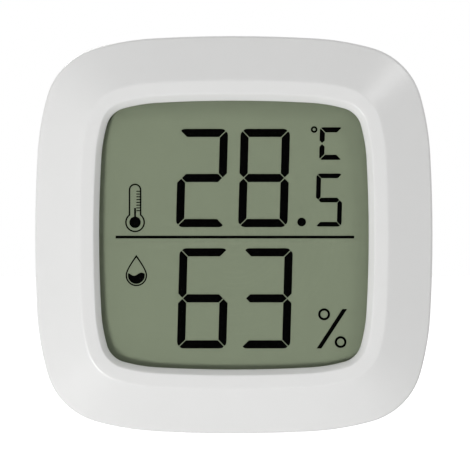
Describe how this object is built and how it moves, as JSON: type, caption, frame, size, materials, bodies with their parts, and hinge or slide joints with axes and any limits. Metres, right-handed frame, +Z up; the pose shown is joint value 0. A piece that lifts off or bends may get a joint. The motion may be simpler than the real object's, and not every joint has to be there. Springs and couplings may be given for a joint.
{
  "type": "temperature humidity sensor",
  "caption": "Square rounded room thermometer and hygrometer with a segment display, coin-cell door, fold-out stand and unit button.",
  "frame": {"origin": "middle of the footprint, on the surface that the case stands on", "axes": "+Z up, -Y out of the display, +Y out of the flat back, +X to the right seen from the front"},
  "size_m": [0.043, 0.0126, 0.043],
  "materials": {
    "case_white": "satin moulded ABS",
    "screw_steel": "zinc plated",
    "foam_black": "closed-cell foam",
    "polarizer": "clear film, half-gloss",
    "display_glass": "polished",
    "reflector": "grey-green diffuse film",
    "holder_white": "moulded ABS",
    "zebra_rubber": "striped silicone",
    "board_green": "solder mask on glass-epoxy",
    "epoxy_black": "cured epoxy drop",
    "chip_black": "moulded epoxy",
    "crystal_can": "nickel plated",
    "capacitor_tan": "ceramic",
    "switch_black": "moulded nylon",
    "plunger_tan": "moulded nylon",
    "contact_nickel": "nickel-plated spring steel",
    "cell_steel": "nickel plated",
    "cell_nylon": "nylon ring",
    "button_grey": "satin moulded ABS"
  },
  "bodies": {
    "housing": {"front_bezel": "case_white", "rear_shell": "case_white", "case_screws": "screw_steel", "lcd_gasket": "foam_black", "front_polarizer": "polarizer", "lcd_front_glass": "display_glass", "lcd_rear_glass": "display_glass", "reflector_film": "reflector", "zebra_strip": "zebra_rubber", "lcd_holder": "holder_white", "main_board": "board_green", "board_screws": "screw_steel", "controller_chip": "epoxy_black", "humidity_sensor": "chip_black", "crystal": "crystal_can", "chip_capacitors": "capacitor_tan", "chip_resistors": "chip_black", "switch_body": "switch_black", "negative_contact": "contact_nickel", "positive_contact": "contact_nickel", "cell_can": "cell_steel", "cell_gasket": "cell_nylon", "cell_cap": "cell_steel"},
    "battery_door": {"battery_door": "case_white"},
    "stand": {"stand": "case_white"},
    "unit_button": {"unit_button": "button_grey"},
    "switch_plunger": {"switch_plunger": "plunger_tan"}
  },
  "joints": [
    {"name": "door_turn", "type": "hinge", "parent": "housing", "child": "battery_door", "pos_m": [0, 0.00625, 0.0275], "axis": [0, 1, 0], "range_deg": [0, 35]},
    {"name": "stand_fold", "type": "hinge", "parent": "housing", "child": "stand", "pos_m": [0, 0.00525, 0.0033], "axis": [-1, 0, 0], "range_deg": [0, 95]},
    {"name": "button_press", "type": "slide", "parent": "housing", "child": "unit_button", "axis": [0, -1, 0], "range_m": [0, 0.0003], "stiffness_N_per_m": 300},
    {"name": "plunger_press", "type": "slide", "parent": "housing", "child": "switch_plunger", "axis": [0, -1, 0], "range_m": [0, 0.0003]}
  ],
  "couplings": [
    {"joint": "plunger_press", "follows": "button_press", "ratio": 1}
  ]
}
